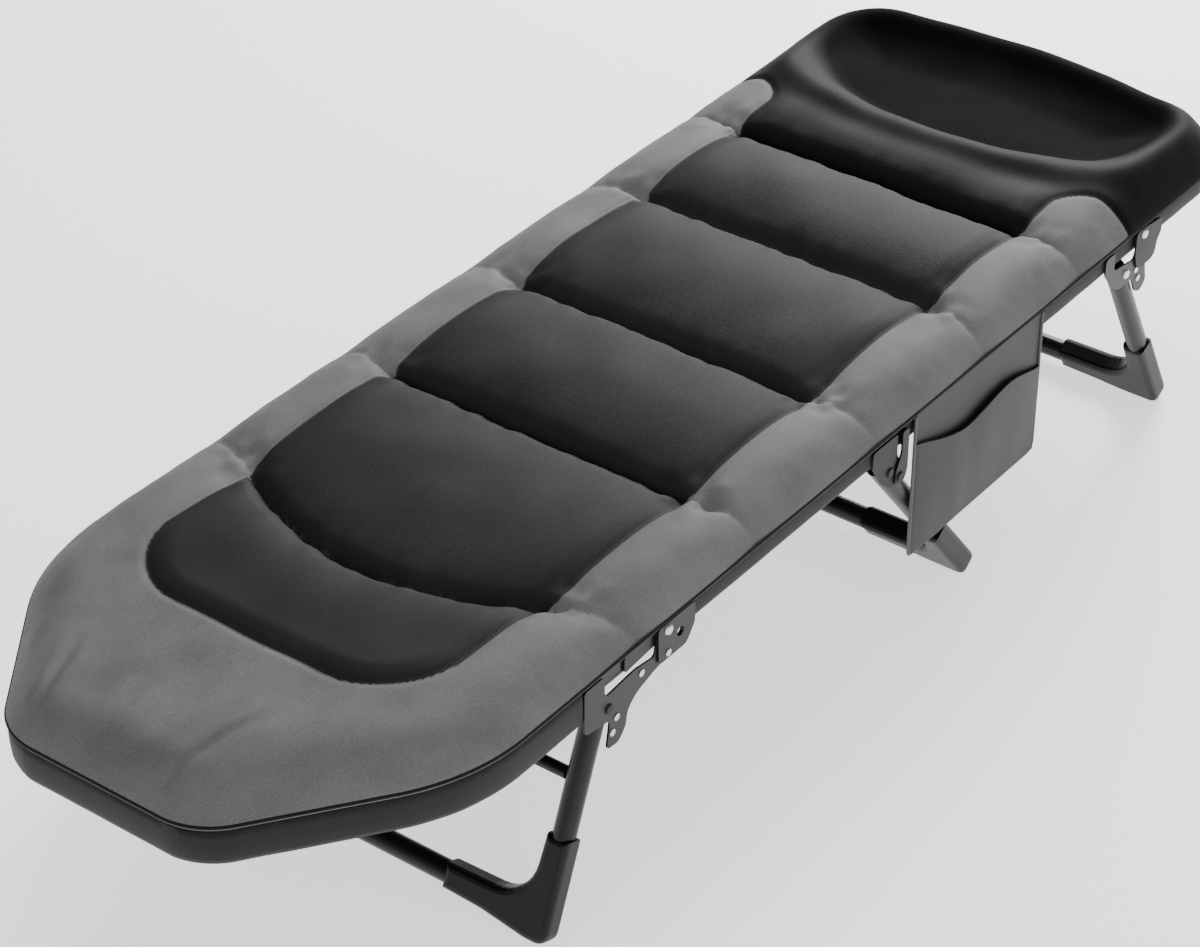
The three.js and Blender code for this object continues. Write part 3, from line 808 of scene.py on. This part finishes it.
def makeSleeve(name, path, profile, body):
    s = sleeveShape
    line = evenly(path, s["spacing"])
    inward = np.gradient(line, axis=0)
    inward = np.stack([inward[:, 1], -inward[:, 0]], 1) / np.linalg.norm(inward, axis=1)[:, None]
    if (inward * -line).sum(1).mean() <= 0:
        inward = -inward
    ripple = np.array([s["ripple"] * noise.noise(Vector((x / s["rippleLength"], y / s["rippleLength"], 4.4)))
                       for x, y in line])
    rows = []
    for inset, height in profile:
        wobble = ripple * (inset < s["outerInset"])  # only the outer side shows, and only it ripples
        moved = line + inward * (inset + wobble)[:, None]
        rows.append(np.column_stack([moved, np.full(len(line), height)]))
    shape = np.array(rows + rows[:1]).transpose(1, 0, 2)
    piece = clothGrid(name, metres(shape))
    turnOutwards(piece)
    applyModifier(piece, "SOLIDIFY", thickness=s["thickness"] / 1000, offset=-1)
    turnOutwards(piece)
    smooth(piece, 50)
    paint(piece, "canvas")
    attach(piece, body)


for name, low, high, body, profile in sleeveRuns:
    paths = edgePaths(low, high)
    for count, path in enumerate(paths):
        end = "" if len(paths) == 1 else ("Near", "Far")[count]
        makeSleeve(name + end, path, profile, body)

print("pocket")
pocketShape = {
    "fromX": 128, "toX": 421, "bottom": 118, "top": 326, "back": 316.2, "front": 318.4, "bulge": 7.2,
    "mouth": [(0, 286), (0.22, 262), (0.4, 250), (0.58, 262), (0.75, 266), (1, 244)], "mouthBlur": 9,
    "fold": 1.1, "foldLengths": (38, 120), "thickness": 1.0, "columns": 61, "rows": 45,
    "edgeAt": 317.6, "edgeRadius": 2.2, "hemRadius": 1.3, "cornerRounds": (6, 10),
}


def pocketPanel(name, isFront):
    s = pocketShape
    over = np.linspace(0, 1, s["columns"])
    x = s["fromX"] + (s["toX"] - s["fromX"]) * over
    fine = np.interp(over, *zip(*s["mouth"]))
    blur = s["mouthBlur"]
    mouth = np.convolve(np.pad(fine, blur // 2, mode="edge"), np.ones(blur) / blur, "valid")
    top = mouth if isFront else np.full(len(over), s["top"])
    up = np.linspace(0, 1, s["rows"])[:, None]
    z = s["bottom"] + (top[None] - s["bottom"]) * up
    swell = np.sin(math.pi * over) ** 0.6 * np.sin(math.pi * (0.06 + 0.62 * up))
    folds = s["fold"] * softNoise(x[None] + 0 * z, z, *s["foldLengths"], 6.6) * np.sin(math.pi * over)
    out = s["front"] + s["bulge"] * swell + folds if isFront else s["back"] + 0.3 * folds
    shape = np.stack([x[None] + 0 * z, -out, z], -1)
    piece = clothGrid(name, metres(shape))
    applyModifier(piece, "SOLIDIFY", thickness=s["thickness"] / 1000, offset=0)
    turnOutwards(piece)
    smooth(piece, 50)
    paint(piece, "pocket")
    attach(piece, "back_section")
    return piece, np.column_stack([x, -out[-1], top])


def pocketSides():
    # Down one side of the pocket, along its bottom and up the other side.
    s = pocketShape
    line = roundedLine([(s["fromX"], s["top"], 0), (s["fromX"], s["bottom"], s["cornerRounds"][0]),
                        (s["toX"], s["bottom"], s["cornerRounds"][1]), (s["toX"], s["top"], 0)], 5)
    return np.column_stack([line[:, 0], np.full(len(line), -s["edgeAt"]), line[:, 1]])


pocketPanel("pocketBack", False)
pocketFront, mouthLine = pocketPanel("pocketFront", True)
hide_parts("side_pocket")
for name, path, radius, finish in (
        ("pocketEdging", pocketSides(), pocketShape["edgeRadius"], "pocketPiping"),
        ("pocketMouthHem", mouthLine, pocketShape["hemRadius"], "pocket")):
    edging = clothGrid(name, metres(tubeShape(path, radius, 8, (0, 1, 0))))
    turnOutwards(edging)
    smooth(edging, 60)
    paint(edging, finish)
    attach(edging, "back_section")

print("rivets")
rivetShape = {"radius": 4.8, "height": 1.6, "round": 0.9, "sunk": 0.3}
rivetPlaces = {  # node that carries it: places along the cot and up
    "foot_hinge_plate": [(-381, 285)],
    "front_leg_bracket": [(-428, 284), (-474, 251), (-482, 234)],
    "rear_leg_bracket": [(666, 266), (673, 250)],
}
bodyOf = {node: body for body, members in frame["record"]["behaviour"]["bodies"].items()
          for node in members}


def makeRivet():
    s = rivetShape
    deselectAll()
    bpy.ops.mesh.primitive_cylinder_add(
        vertices=24, radius=s["radius"] / 1000, depth=s["height"] / 1000, location=(0, 0, 0),
        rotation=(math.radians(90), 0, 0))
    rivet = newest("rivet")
    bpy.ops.object.transform_apply(location=True, rotation=True, scale=True)
    applyModifier(rivet, "BEVEL", width=s["round"] / 1000, segments=3, limit_method="ANGLE")
    smooth(rivet, 50)
    paint(rivet, "nickel_rivet")
    return rivet


rivetModel = makeRivet()
proud = (rivetShape["height"] / 2 - rivetShape["sunk"]) / 1000
for node, places in rivetPlaces.items():
    for side in ("left", "right"):
        low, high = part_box(f"{node}_{side}")
        outer = high.y if side == "left" else low.y
        for count, (x, z) in enumerate(places):
            rivet = rivetModel.copy()
            rivet.data = rivetModel.data.copy()
            rivet.name = rivet.data.name = f"rivet_{node}_{side}_{count}"
            bpy.context.collection.objects.link(rivet)
            shift = (x / 1000, outer + math.copysign(proud, outer), z / 1000)
            rivet.data.transform(Matrix.Translation(shift))
            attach(rivet, bodyOf[f"{node}_{side}"])
bpy.data.objects.remove(rivetModel)

print("floor")
deselectAll()
bpy.ops.mesh.primitive_plane_add(size=30, location=(0, 0, 0))
floor = newest("floor")
floorFinish = startFinish(
    "palePaper", Roughness=0.85, Specular_IOR_Level=0.2, Base_Color=linear("#f8f8f8"),
    Emission_Color=(1, 1, 1, 1), Emission_Strength=1.2)[0]
floor.data.materials.append(floorFinish)
